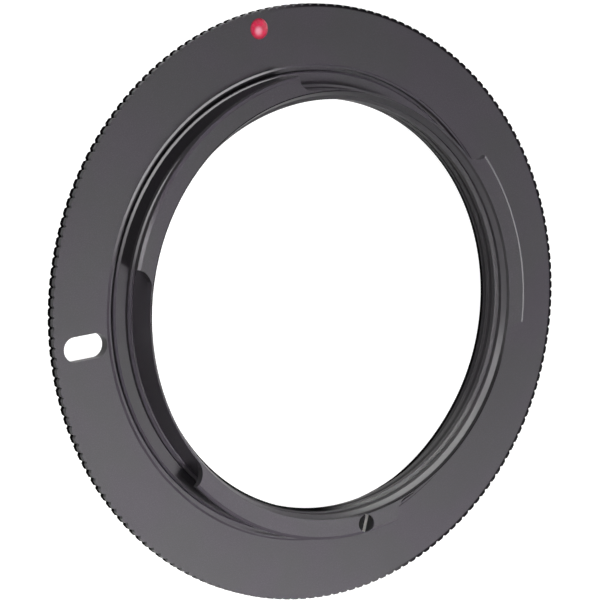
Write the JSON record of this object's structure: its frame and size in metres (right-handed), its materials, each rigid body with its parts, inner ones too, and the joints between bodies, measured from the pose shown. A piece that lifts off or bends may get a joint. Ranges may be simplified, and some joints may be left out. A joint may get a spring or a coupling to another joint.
{
  "type": "lens mount adapter",
  "caption": "Flat ring with a knurled rim that couples a screw-thread lens to a lugged bayonet camera mount, with an index dot, a lock-pin slot and a stop screw.",
  "frame": {"origin": "centre of the lens-side face, on the surface that the ring lies on", "axes": "+Z along the ring's axis towards the bayonet, +Y from the axis to the index dot"},
  "size_m": [0.06, 0.06, 0.0052],
  "materials": {
    "anodised_ring": "black anodised over a fine bead blast, satin",
    "red_enamel": "red enamel, glossy and dished",
    "blackened_screw": "blackened steel, semi-gloss"
  },
  "bodies": {
    "root": {"adapter_ring": "anodised_ring", "index_dot": "red_enamel", "stop_screw": "blackened_screw"}
  },
  "joints": []
}
